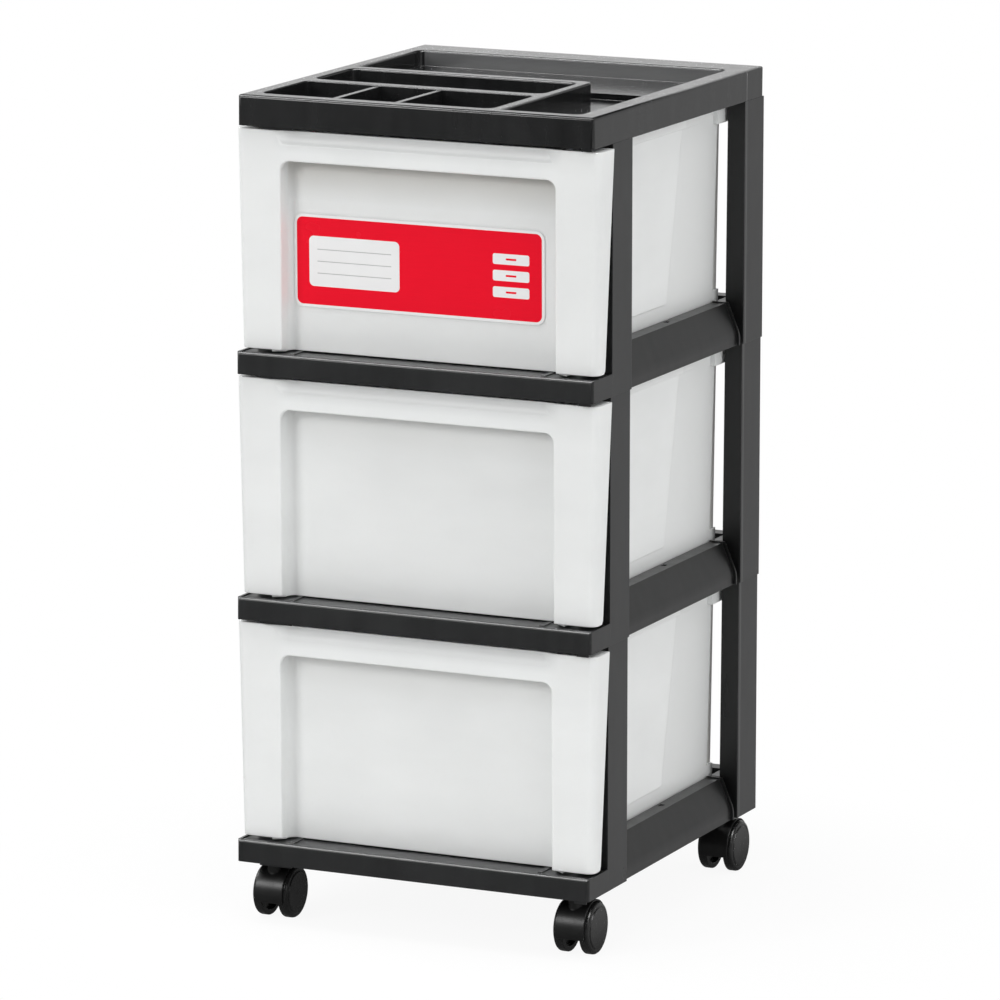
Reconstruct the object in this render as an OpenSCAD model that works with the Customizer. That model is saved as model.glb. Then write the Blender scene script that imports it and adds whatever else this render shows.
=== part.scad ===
// Three-drawer plastic tower on twin-wheel casters, with an organizer tray on top.
// Millimetres, +Z up, front towards -Y. The origin is on the floor, under the middle of the tower.
// Inside the modules Y runs from the front lip (0) to the back, and Z from the piece's own underside.

/* [Tower] */
// Width of the tier frames across their front lip
tower_w = 306; // [300:1:320]
// Depth of the tier frames, front lip to the backs of the rear posts
tower_d = 345; // [340:1:360]
// Height from one tier frame's underside to the next one's
tier_pitch = 197.5; // [190:0.5:210]
// Height of the bottom frame's underside above the floor
caster_drop = 50.5; // [50:0.5:54]
// Wall thickness of the frames and the tray
skin = 2.2; // [2:0.1:2.4]

/* [Tier frame] */
// Height of the front lip
lip_h = 18; // [18:0.5:20]
// Height of the side rails and the rear bar
rail_h = 33.5; // [32:0.5:36]
// Inset of a rail's foot from the posts' outer faces
rail_setback = 2.5; // [2:0.5:4]
// Height of a rail's upright foot below its slope
rail_foot_h = 9; // [8:0.5:12]
// Inward run of a rail's sloping face
rail_slope_w = 10.5; // [9:0.5:12]
// Half of the clear width between the rails' inner walls
rail_inner_x = 128.5; // [128.5:0.5:129.5]
// Width of a post across the tower
post_w = 16; // [15:0.5:17]
// Distance of the front posts behind the lip
post_front_y = 38; // [37:0.5:40]
// Depth of a front post
front_post_d = 38; // [36:1:40]
// Depth of a rear post
rear_post_d = 40; // [38:1:42]
// Inward draft of a post's outer face over its height
post_draft = 1.2; // [0.5:0.1:1.5]

/* [Drawers] */
// Height of a drawer
drawer_h = 176.4; // [172:0.2:177]
// Half width of the drawer body at its top
bin_top_x = 130; // [129:0.5:130.5]
// Half width of the drawer body at its floor
bin_low_x = 126.5; // [125:0.5:127]
// Half width of the drawer front at its top
front_top_x = 156; // [154:0.5:157]
// Half width of the drawer front at its bottom
front_low_x = 153; // [152:0.5:154]
// Half width of the recessed front panel
panel_x = 117.5; // [110:1:119]
// Depth of the recess in front of the panel
panel_recess = 16; // [14:0.5:18]
// Height of the pull band across the top of the drawer front
band_h = 24; // [20:1:28]
// Wall thickness of a drawer
drawer_wall = 2; // [1.8:0.1:2.2]

/* [Label] */
// Width of the front label
label_w = 215; // [150:2:220]
// Height of the front label
label_h = 74; // [50:2:90]

/* [Organizer tray] */
// Height of the tray
tray_h = 24.5; // [24:0.5:26]
// Width of the tray
tray_w = 303.5; // [302:0.5:305]
// Depth of the small compartments
bin_depth = 19.5; // [18:0.5:19.5]
// Depth of the wide rear compartment
rear_depth = 13; // [11:0.5:14]
// Depth of the right-hand pocket
pocket_depth = 18; // [16:0.5:18]

/* [Casters] */
// Radius of a caster wheel
wheel_r = 21; // [20:0.5:21]
// Width of a caster wheel
wheel_w = 8.5; // [7:0.5:9]
// Spacing between the two wheels' middles
wheel_gap = 23.3; // [22.5:0.1:24]
// Trail of the axle behind the swivel stem
trail = 9.5; // [8:0.5:11]
// Distance of the stems from the tower's middle, across
stem_x = 131.5; // [130:0.5:132]
// Distance of the stems from the front and the back edges
stem_y = 25.4; // [24:0.2:27]

/* [Hidden] */
$fn = 48;
eps = 0.02;
half_w = tower_w / 2;
floor_z = 17.2;             // top of a frame's floor
runner_h = 0.9;             // low ribs that carry the drawer
drawer_z = 18.4;            // underside of a drawer above its frame's underside
bead_r = 2.4;               // rounding along the lip
groove_r = 1;               // groove behind the bead
post_in_x = half_w - post_w;
rear_post_y = tower_d - rear_post_d;
rear_bar_y = rear_post_y + 26;
web_y = rear_post_y - 8;    // thin end web of a rail, just ahead of the rear post
web_t = 1.8;
web_proud = 2.2;
spigot_h = 12;
spigot_gap = 0.35;
spigot_in = 4;              // a spigot's distance from its post's inner edge
lug_z = 180.6;              // drawer stop lugs on the front posts
lug_h = 3.2;
lug_y = 51.5;               // back face of a stop lug
boss_r = 7.4;
socket_r = 5.5;
socket_depth = 13.5;
rib_h = 9;

front_top_y = 5;            // drawer front face at its top
front_low_y = 9;            // drawer front face at its bottom
front_low_z = 1.8;          // underside of the drawer front
corner_r = 7;
wing_top_y = 31;            // back edge of the drawer front's side returns
wing_low_y = 24;
wing_r = 4;
recess_r = 8;               // upper corners of the recess in front of the panel
bin_back_top = 316;
bin_back_low = 313;
rim_x = 134;                // outer face of the side rim
rim_back_y = 319.5;
skirt_h = 10;
skirt_end_y = 250;
skirt_thin_h = 5;
tab_y = 292;                // deeper tab at the back end of each side rim
tab_h = 15;
pull_gap_y = 10.5;          // hollow behind the pull band
scoop_r = 14;
scoop_top = 12.2;           // height of the scooped zone over the band
proud = 1;                  // raised area of a drawer's side wall
proud_z = 27.5;
proud_top_y = 226;
proud_low_y = 203;
rebate_z = 24;              // set-back strip at a drawer's rear corners
rebate_top = 162;
rebate_y = 12;
rebate_x = 1.6;

label_x = -5.5;
label_z = 72.6;             // middle of the label above the drawer's underside
label_t = 0.4;
label_r = 7.5;

tray_z = 3 * tier_pitch;
tray_half = tray_w / 2;
tray_front = 0.5;
tray_back = 344;
edge_r = 2.8;
left_in = -138.5;
right_in = 134;
front_in = 14;
rear_in = 309;
row1_back = 97;
row2_front = 110;
row2_back = 181;
block_back = 193.5;
rows_right = 59.5;
block_right = 68.5;
pocket_left = 51;
pocket_back = 221;
divider_x = [-76.4, -23];
divider_w = 4.6;
divider_drop = 1;
bin_r = 8;

axle_z = wheel_r;
axle_r = 2;
axle_len = 26;
stem_r = 4;
stem_low_z = 28;
stem_top_z = caster_drop + 12.5;
ring_r = 5.45;
ring_low_z = caster_drop + 1.5;
ring_h = 10;
run_fit = 0.05;             // radial clearance of a shaft in its bore
hood_w = 24.4;
hood_gap = 0.5;
hood_t = 1.3;
hood_cut_z = 15;            // straight lower edge of the hood, above the floor
web_half = 6.4;
stem_boss_r = 6;
stem_boss_top = caster_drop - 1.2;
disc_r = 16.6;              // flat disc on a wheel's outer face

// the rear hoods reach behind the posts; this is the middle of the whole depth
mid_y = (tower_d - stem_y + trail + wheel_r + hood_gap + hood_t) / 2;

black = [0.16, 0.165, 0.17];
frosted = [0.9, 0.92, 0.93];
steel = [0.62, 0.63, 0.65];

// ---- shared shapes ----

// An outline in Y and Z, drawn out along X between two planes
module along_x(x0, x1) {
    translate([x0, 0, 0]) rotate([90, 0, 90]) linear_extrude(x1 - x0) children();
}

// An outline in X and Z, drawn out along Y between two planes
module along_y(y0, y1) {
    translate([0, y1, 0]) rotate([90, 0, 0]) linear_extrude(y1 - y0) children();
}

// A rectangle with round corners
module round_rect(x0, x1, y0, y1, r) {
    translate([x0 + r, y0]) square([x1 - x0 - 2 * r, y1 - y0]);
    translate([x0, y0 + r]) square([x1 - x0, y1 - y0 - 2 * r]);
    for (x = [x0 + r, x1 - r], y = [y0 + r, y1 - r]) translate([x, y]) circle(r);
}

// A block given by its two corners
module block(low, high) {
    translate(low) cube(high - low);
}

module mirror_x() {
    children();
    mirror([1, 0, 0]) children();
}

// ---- tier frame: a shelf with its four posts, one moulding ----

// One side rail's outer outline, with an extra thickness outwards
module rail_outline(extra) {
    foot_x = half_w - rail_setback + extra;
    ledge_x = foot_x - rail_slope_w;
    polygon([[rail_inner_x, 0], [foot_x, 0], [foot_x, rail_foot_h],
             [ledge_x, rail_h + extra / 2], [rail_inner_x, rail_h + extra / 2]]);
}

// The hollow inside a rail, open downwards
module rail_hollow() {
    foot_x = half_w - rail_setback - skin;
    ledge_x = foot_x - rail_slope_w;
    polygon([[rail_inner_x + skin, -1], [foot_x, -1], [foot_x, rail_foot_h - 0.5],
             [ledge_x + 0.4, rail_h - skin], [rail_inner_x + skin, rail_h - skin]]);
}

module side_rail() {
    difference() {
        along_y(post_front_y + front_post_d - skin, web_y + web_t) rail_outline(0);
        along_y(post_front_y + front_post_d, web_y) rail_hollow();
        // small notch in the ledge
        block([rail_inner_x - 1, 190, rail_h - 0.9], [rail_inner_x + 6, 196, rail_h + 1]);
    }
    along_y(web_y, web_y + web_t) rail_outline(web_proud);
    // inner wall and ledge, carried on past both posts
    block([rail_inner_x, post_front_y, 0], [rail_inner_x + skin, rear_bar_y + skin, rail_h]);
    for (y = [[post_front_y, post_front_y + front_post_d], [rear_post_y, tower_d - skin]])
        block([rail_inner_x, y[0], rail_h - skin], [post_in_x + skin, y[1], rail_h]);
}

// A post's outline in X and Z: its outer face leans in as it rises
module post_outline(inset) {
    polygon([[post_in_x - eps, 0], [half_w - inset, 0],
             [half_w - inset - post_draft, tier_pitch], [post_in_x - eps, tier_pitch]]);
}

// A channel open towards the middle of the tower, with a cap and a spigot on top
module post(y0, y1) {
    difference() {
        along_y(y0, y1) post_outline(0);
        intersection() {
            along_y(y0 + skin, y1 - skin) post_outline(skin);
            block([post_in_x - 1, y0, -1], [half_w, y1, tier_pitch - skin]);
        }
    }
    low = [post_in_x + spigot_in, y0 + skin + spigot_gap];
    high = [half_w - skin - post_draft - spigot_gap, y1 - skin - spigot_gap - 1.2];
    difference() {
        block([low.x, low.y, tier_pitch - skin], [high.x, high.y, tier_pitch + spigot_h]);
        block([low.x + skin, low.y + skin, tier_pitch], [high.x - skin, high.y - skin, tier_pitch + 20]);
    }
}

// Outline of the front lip in Y and Z: upright face, rounded bead, shallow groove behind it
module lip_outline() {
    difference() {
        union() {
            square([skin, lip_h - bead_r]);
            translate([bead_r, lip_h - bead_r]) circle(bead_r);
            translate([bead_r, lip_h - bead_r - 1]) square([post_front_y - bead_r, floor_z - lip_h + bead_r + 1]);
        }
        translate([2 * bead_r + groove_r, floor_z + groove_r / 2]) circle(groove_r);
    }
}

module frame_body() {
    union() {
        along_x(-half_w, half_w) lip_outline();
        block([-half_w, post_front_y - 1, floor_z - skin], [half_w, post_front_y + 3, floor_z]);
        block([-rail_inner_x - 1, 4, floor_z - skin], [rail_inner_x + 1, rear_bar_y + 1, floor_z]);
        // rear bar, hollow from below
        difference() {
            block([-post_in_x - 1, rear_bar_y, 0], [post_in_x + 1, tower_d, rail_h]);
            block([-post_in_x + skin, rear_bar_y + skin, -1], [post_in_x - skin, tower_d - skin, rail_h - skin]);
        }
        // ribs under the floor
        for (y = [110, 220]) block([-rail_inner_x, y, floor_z - rib_h], [rail_inner_x, y + skin, floor_z]);
        for (x = [-45, 45]) block([x, skin, floor_z - rib_h], [x + skin, rear_bar_y + 1, floor_z]);
        // ledge that the drawer slides on
        for (x = [-110, 106]) block([x, 8, floor_z - eps], [x + 4, rear_bar_y + 1, floor_z + runner_h]);
        // small tabs along the lip's underside
        block([-133, 0.4, -1.2], [-105, 2, 1]);
        block([141, 0.4, -2], [151, 2, 1]);
        mirror_x() {
            side_rail();
            block([half_w - skin, bead_r, 0], [half_w, post_front_y + 1, lip_h]);
            post(post_front_y, post_front_y + front_post_d);
            post(rear_post_y, tower_d);
            // drawer stop lug, braced across the post's hollow
            block([rim_x - 2, lug_y - 9, lug_z], [half_w - skin, lug_y, lug_z + lug_h]);
        }
    }
}

module at_sockets() {
    mirror_x() for (y = [stem_y, tower_d - stem_y]) translate([stem_x, y, 0]) children();
}

module tier_frame() {
    color(black) difference() {
        union() {
            frame_body();
            at_sockets() cylinder(r = boss_r, h = floor_z - 1);
        }
        at_sockets() translate([0, 0, -1]) cylinder(r = socket_r, h = socket_depth + 1);
    }
}

// ---- drawer ----

// Outline of the drawer front in Y and Z, pushed back by an inset
module front_side_outline(inset) {
    difference() {
        polygon([[front_low_y + inset, front_low_z], [front_top_y + inset, drawer_h],
                 [wing_top_y, drawer_h], [wing_low_y, front_low_z]]);
        // rounded lower corner of the side returns
        if (inset == 0) translate([wing_low_y - wing_r + 0.1, front_low_z + wing_r - 0.1]) difference() {
            translate([0, -wing_r - 1]) square(wing_r + 1);
            circle(wing_r);
        }
    }
}

// Outline of the drawer front in X and Z
module front_face_outline(inset) {
    polygon([[-front_low_x + inset, front_low_z], [front_low_x - inset, front_low_z],
             [front_top_x - inset, drawer_h], [-front_top_x + inset, drawer_h]]);
}

// Cuts the drawer front's leaning corners round, about an axis that leans as they do
module corner_rounds(inset) {
    rise = drawer_h - front_low_z;
    lean_x = atan((front_top_x - front_low_x) / rise);
    lean_y = atan((front_low_y - front_top_y) / rise);
    mirror_x() translate([front_low_x - corner_r, front_low_y + corner_r, front_low_z])
        rotate([lean_y, lean_x, 0]) difference() {
            translate([0, -corner_r - 1, -10]) cube([corner_r + 1, corner_r + 1, drawer_h + 20]);
            translate([0, 0, -11]) cylinder(r = corner_r - inset + 0.05, h = drawer_h + 22);
        }
}

// The block that the drawer front is cut from
module front_block(inset) {
    difference() {
        intersection() {
            along_x(-front_top_x, front_top_x) front_side_outline(inset);
            along_y(0, wing_top_y + 1) front_face_outline(inset);
        }
        corner_rounds(inset);
    }
}

// The drafted body, pushed in by an inset on its sides and back; it starts behind the front face
module bin_block(inset, behind) {
    intersection() {
        along_x(-bin_top_x, bin_top_x)
            polygon([[front_low_y + behind, 0], [front_top_y + behind, drawer_h + inset],
                     [bin_back_top - inset, drawer_h + inset], [bin_back_low - inset, 0]]);
        along_y(0, bin_back_top)
            polygon([[-bin_low_x + inset, 0], [bin_low_x - inset, 0],
                     [bin_top_x - inset, drawer_h + inset], [-bin_top_x + inset, drawer_h + inset]]);
    }
}

// Front face of the panel at a height above the drawer's underside
function panel_y(z) = front_low_y + panel_recess - (front_low_y - front_top_y) * z / drawer_h;

// The recess in front of the panel, grown by a wall
module panel_recess_block(grow) {
    top = drawer_h - drawer_wall + grow;
    along_x(-panel_x - grow, panel_x + grow)
        polygon([[-5, -1], [panel_y(-1) + grow, -1], [panel_y(top) + grow, top], [-5, top]]);
}

// The set-back strip at the rear corners, grown by a wall
module rear_rebate(grow) {
    mirror_x() translate([bin_low_x - rebate_x - grow, 0, 0])
        block([0, bin_back_low - rebate_y - grow, rebate_z - grow], [9, bin_back_top + 5, rebate_top + grow]);
}

// Scooped zone over the pull band
module pull_scoop() {
    y_c = front_top_y + 3.5 - scoop_r;
    translate([0, y_c, drawer_h - scoop_top + sqrt(pow(scoop_r, 2) - pow(front_top_y - y_c, 2))])
        rotate([0, 90, 0]) cylinder(r = scoop_r, h = 2 * panel_x, center = true, $fn = 96);
}

module drawer_shell() {
    difference() {
        union() {
            // front with its side returns, hollow from behind
            difference() {
                front_block(0);
                mirror_x() intersection() {
                    front_block(drawer_wall);
                    block([bin_low_x - 2, 0, front_low_z + drawer_wall], [200, 60, drawer_h - drawer_wall]);
                }
            }
            bin_block(0, 1);
            side_rims();
            // raised area of the side walls
            intersection() {
                along_x(-200, 200) polygon([[40, proud_z], [proud_low_y, proud_z],
                                            [proud_top_y, drawer_h - 1], [40, drawer_h - 1]]);
                along_y(0, tower_d) polygon([[-bin_low_x - proud, 0], [bin_low_x + proud, 0],
                    [bin_top_x + proud, drawer_h], [-bin_top_x - proud, drawer_h]]);
            }
        }
        // inside of the bin
        difference() {
            intersection() {
                bin_block(drawer_wall, drawer_wall);
                block([-200, 0, drawer_wall], [200, tower_d, drawer_h + 5]);
            }
            panel_recess_block(drawer_wall);
            rear_rebate(drawer_wall);
        }
        // recess in front of the panel, below the band
        intersection() {
            panel_recess_block(0);
            along_y(-10, 60) round_rect(-panel_x, panel_x, -30, drawer_h - band_h, recess_r);
        }
        // hollow behind the band for the fingers
        intersection() {
            panel_recess_block(0);
            block([-panel_x, pull_gap_y, 50], [panel_x, 60, drawer_h - 2 * drawer_wall]);
        }
        pull_scoop();
        rear_rebate(0);
    }
}

// Rim along both sides and the back, with its skirts and rear tabs
module side_rims() {
    rim_in = bin_top_x - 1;
    mirror_x() {
        block([rim_in, wing_top_y - 2, drawer_h - drawer_wall], [rim_x, rim_back_y, drawer_h]);
        block([rim_x - drawer_wall, wing_top_y - 2, drawer_h - skirt_h], [rim_x, skirt_end_y, drawer_h]);
        block([rim_x - drawer_wall, skirt_end_y - 1, drawer_h - skirt_thin_h], [rim_x, tab_y + 1, drawer_h]);
        block([rim_x - drawer_wall, tab_y, drawer_h - tab_h], [rim_x, rim_back_y, drawer_h]);
        block([rim_in, tab_y, drawer_h - tab_h], [rim_x, tab_y + drawer_wall, drawer_h]);
    }
    block([-rim_x, bin_back_top - 1, drawer_h - drawer_wall], [rim_x, rim_back_y, drawer_h]);
    block([-rim_x, rim_back_y - drawer_wall, drawer_h - skirt_thin_h], [rim_x, rim_back_y, drawer_h]);
}

module drawer() {
    color(frosted) drawer_shell();
}

// ---- label on the top drawer's panel ----

module label_plate() {
    color([0.85, 0.06, 0.15]) intersection() {
        along_x(-half_w, half_w)
            polygon([[panel_y(0) - label_t, 0], [panel_y(0), 0],
                     [panel_y(drawer_h), drawer_h], [panel_y(drawer_h) - label_t, drawer_h]]);
        along_y(0, 60) round_rect(label_x - label_w / 2, label_x + label_w / 2,
                                  label_z - label_h / 2, label_z + label_h / 2, label_r);
    }
}

// ---- organizer tray ----

// Outlines of the compartments seen from above, grown by a wall
module rows_outline(grow) {
    round_rect(left_in - grow, rows_right + grow, front_in - grow, row1_back + grow, bin_r);
    round_rect(left_in - grow, rows_right + grow, row2_front - grow, row2_back + grow, bin_r);
}

module rear_outline(grow) {
    difference() {
        round_rect(left_in - grow, right_in + grow, front_in - grow, rear_in + grow, bin_r);
        round_rect(left_in - 40, block_right - grow, front_in - 40, block_back - grow, bin_r + 2);
    }
}

module pocket_outline(grow) {
    difference() {
        round_rect(pocket_left - grow, right_in + grow, front_in - grow, pocket_back + grow, bin_r - 2);
        round_rect(left_in - 40, block_right - grow, front_in - 40, block_back - grow, bin_r + 2);
    }
}

// Every compartment as a solid, grown by a wall at the sides and the floor
module compartments(grow) {
    top = tray_h + 1;
    translate([0, 0, tray_h - bin_depth - grow]) linear_extrude(top) rows_outline(grow);
    translate([0, 0, tray_h - rear_depth - grow]) linear_extrude(top) rear_outline(grow);
    translate([0, 0, tray_h - pocket_depth - grow]) linear_extrude(top) pocket_outline(grow);
}

// Cuts one top edge round; the edge runs along X from 0
module edge_round(length) {
    translate([-1, -1, 0]) difference() {
        translate([0, 0, tray_h - edge_r]) cube([length + 2, edge_r + 1, edge_r + 1]);
        translate([-1, edge_r + 1, tray_h - edge_r]) rotate([0, 90, 0]) cylinder(r = edge_r, h = length + 4);
    }
}

module organizer_tray() {
    length_y = tray_back - tray_front;
    color(black) {
        difference() {
            block([-tray_half, tray_front, 0], [tray_half, tray_back, tray_h]);
            // hollow underside, less the compartments' walls and floors
            difference() {
                block([-tray_half + skin, tray_front + skin, -1],
                      [tray_half - skin, tray_back - skin, tray_h - skin]);
                compartments(skin - 0.2);
            }
            compartments(0);
            translate([-tray_half, tray_front, 0]) edge_round(tray_w);
            translate([tray_half, tray_back, 0]) rotate(180) edge_round(tray_w);
            translate([-tray_half, tray_back, 0]) rotate(-90) edge_round(length_y);
            translate([tray_half, tray_front, 0]) rotate(90) edge_round(length_y);
        }
        for (x = divider_x)
            block([x - divider_w / 2, front_in - 1, tray_h - bin_depth - 0.5],
                  [x + divider_w / 2, row1_back + 1, tray_h - divider_drop]);
        block([-133, 0.9, -1.2], [-105, 2.5, 1]);
        block([141, 0.9, -2], [150, 2.5, 1]);
        // ribs around the sockets for the posts' spigots
        for (y = [post_front_y, post_front_y + front_post_d - skin, rear_post_y]) {
            block([-tray_half + 1, y, 0], [left_in - 1, y + skin, tray_h - skin + eps]);
            block([right_in + 1, y, 0], [tray_half - 1, y + skin, tray_h - skin + eps]);
        }
    }
}

// ---- caster, its stem's axis on the origin, its axle behind ----

module wheel(side) {
    rim_r = 2.2;
    color(black) translate([side * wheel_gap / 2, trail, axle_z]) rotate([0, side * 90, 0])
        translate([0, 0, -wheel_w / 2]) difference() {
            rotate_extrude() wheel_outline(rim_r);
            // blind bore for the axle
            translate([0, 0, -1]) cylinder(r = axle_r + run_fit, h = wheel_w - 1.5);
        }
}

// Half of a wheel's section: radius across, width upwards from the inner face
module wheel_outline(rim_r) {
    difference() {
        union() {
            square([wheel_r - rim_r, wheel_w - 0.6]);
            square([wheel_r, wheel_w - rim_r - 0.8]);
            translate([wheel_r - rim_r, wheel_w - rim_r - 0.8]) circle(rim_r);
            square([disc_r, wheel_w]);
        }
        translate([disc_r, wheel_w - 0.9]) square([0.8, 1]);
        translate([6.5, -1]) square([disc_r - 6.5, 4.5]);
        translate([-2 * wheel_r, -1]) square([2 * wheel_r, wheel_w + 2]);
    }
}

module hood() {
    shell_r = wheel_r + hood_gap;
    color(black) difference() {
        union() {
            translate([0, 0, axle_z + 5]) cylinder(r = stem_boss_r, h = stem_boss_top - axle_z - 5);
            translate([0, trail, axle_z]) {
                // web between the wheels
                rotate([0, 90, 0]) cylinder(r = shell_r + hood_t / 2, h = 2 * web_half, center = true);
                // cover over the wheels' inner halves, open behind
                difference() {
                    rotate([0, 90, 0]) cylinder(r = shell_r + hood_t, h = hood_w, center = true);
                    rotate([0, 90, 0]) cylinder(r = shell_r, h = 40, center = true);
                    rotate([20, 0, 0]) block([-20, 3, -60], [20, 60, 0]);
                }
            }
        }
        // open below
        block([-20, -40, -5], [20, 60, hood_cut_z]);
        translate([-20, trail, axle_z]) rotate([0, 90, 0]) cylinder(r = axle_r + 0.02, h = 40);
        translate([0, 0, stem_low_z - 0.4]) cylinder(r = stem_r + run_fit, h = 60);
    }
}

module stem() {
    color(steel) {
        translate([0, 0, stem_low_z]) cylinder(r = stem_r, h = stem_top_z - stem_low_z);
        // collar that sits between the hood and the frame
        translate([0, 0, caster_drop - 1]) cylinder(r = stem_r + 2.6, h = 1);
    }
}

module grip_ring() {
    color(steel) translate([0, 0, ring_low_z]) difference() {
        cylinder(r = ring_r, h = ring_h);
        translate([0, 0, -1]) cylinder(r = stem_r + 0.02, h = ring_h + 2);
    }
}

module axle() {
    color(steel) translate([-axle_len / 2, trail, axle_z]) rotate([0, 90, 0]) cylinder(r = axle_r, h = axle_len);
}

// ---- placing ----

module at_tier(n) {
    translate([0, -mid_y, caster_drop + n * tier_pitch]) children();
}

module at_drawer(n) {
    at_tier(n) translate([0, 0, drawer_z]) children();
}

module at_caster(sx, sy) {
    y = sy < 0 ? stem_y : tower_d - stem_y;
    translate([sx * stem_x, y - mid_y, 0]) children();
}

at_tier(3) organizer_tray();  // organizer_top
at_tier(2) tier_frame();  // tier_frame_top
at_tier(1) tier_frame();  // tier_frame_middle
at_tier(0) tier_frame();  // tier_frame_bottom
at_drawer(2) drawer();  // drawer_top
at_drawer(1) drawer();  // drawer_middle
at_drawer(0) drawer();  // drawer_bottom
at_drawer(2) label_plate();  // front_label
at_caster(-1, -1) hood();  // caster_fl_hood
at_caster(-1, -1) stem();  // caster_fl_stem
at_caster(-1, -1) grip_ring();  // caster_fl_grip_ring
at_caster(-1, -1) axle();  // caster_fl_axle
at_caster(-1, -1) wheel(-1);  // caster_fl_wheel_left
at_caster(-1, -1) wheel(1);  // caster_fl_wheel_right
at_caster(1, -1) hood();  // caster_fr_hood
at_caster(1, -1) stem();  // caster_fr_stem
at_caster(1, -1) grip_ring();  // caster_fr_grip_ring
at_caster(1, -1) axle();  // caster_fr_axle
at_caster(1, -1) wheel(-1);  // caster_fr_wheel_left
at_caster(1, -1) wheel(1);  // caster_fr_wheel_right
at_caster(-1, 1) hood();  // caster_rl_hood
at_caster(-1, 1) stem();  // caster_rl_stem
at_caster(-1, 1) grip_ring();  // caster_rl_grip_ring
at_caster(-1, 1) axle();  // caster_rl_axle
at_caster(-1, 1) wheel(-1);  // caster_rl_wheel_left
at_caster(-1, 1) wheel(1);  // caster_rl_wheel_right
at_caster(1, 1) hood();  // caster_rr_hood
at_caster(1, 1) stem();  // caster_rr_stem
at_caster(1, 1) grip_ring();  // caster_rr_grip_ring
at_caster(1, 1) axle();  // caster_rr_axle
at_caster(1, 1) wheel(-1);  // caster_rr_wheel_left
at_caster(1, 1) wheel(1);  // caster_rr_wheel_right
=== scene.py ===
from math import cos, pi, radians, sin

import bmesh
import bpy
from mathutils import Matrix, Vector


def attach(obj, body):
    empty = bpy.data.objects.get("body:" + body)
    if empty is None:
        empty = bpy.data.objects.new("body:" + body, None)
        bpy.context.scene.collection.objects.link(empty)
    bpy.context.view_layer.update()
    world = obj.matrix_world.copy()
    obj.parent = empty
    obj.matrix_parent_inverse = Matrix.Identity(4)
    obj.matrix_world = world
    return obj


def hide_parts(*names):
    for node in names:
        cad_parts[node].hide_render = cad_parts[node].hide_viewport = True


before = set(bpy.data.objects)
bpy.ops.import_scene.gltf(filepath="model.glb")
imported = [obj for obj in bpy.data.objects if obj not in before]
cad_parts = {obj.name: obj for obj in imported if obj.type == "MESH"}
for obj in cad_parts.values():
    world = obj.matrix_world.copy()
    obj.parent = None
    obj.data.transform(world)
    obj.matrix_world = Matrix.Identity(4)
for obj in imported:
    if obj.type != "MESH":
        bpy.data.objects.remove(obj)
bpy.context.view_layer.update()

# Metres. Front towards -Y, origin on the floor under the middle of the tower.
# "lip" is the Y of the frames' front lip, from which the mouldings are measured.
tower = {"lip": -0.17595, "casterDrop": 0.0505, "pitch": 0.1975}
print("frame loaded,", len(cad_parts), "nodes")


# shader helpers

def link(tree, given, socket):
    if isinstance(given, Value):
        tree.links.new(given.socket, socket)
    else:
        socket.default_value = given


class Value:  # an output socket that can stand in a sum
    def __init__(self, tree, socket):
        self.tree = tree
        self.socket = socket

    def calc(self, operation, *inputs):
        node = self.tree.nodes.new("ShaderNodeMath")
        node.operation = operation
        for given, socket in zip(inputs, node.inputs):
            link(self.tree, given, socket)
        return Value(self.tree, node.outputs[0])

    def __add__(self, other):
        return self.calc("ADD", self, other)

    def __radd__(self, other):
        return self.calc("ADD", other, self)

    def __sub__(self, other):
        return self.calc("SUBTRACT", self, other)

    def __rsub__(self, other):
        return self.calc("SUBTRACT", other, self)

    def __mul__(self, other):
        return self.calc("MULTIPLY", self, other)

    def __rmul__(self, other):
        return self.calc("MULTIPLY", other, self)

    def __mod__(self, other):
        return self.calc("FLOORED_MODULO", self, other)

    def __abs__(self):
        return self.calc("ABSOLUTE", self)

    def atLeast(self, other):
        return self.calc("MAXIMUM", self, other)

    def root(self):
        return self.calc("SQRT", self)


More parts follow.
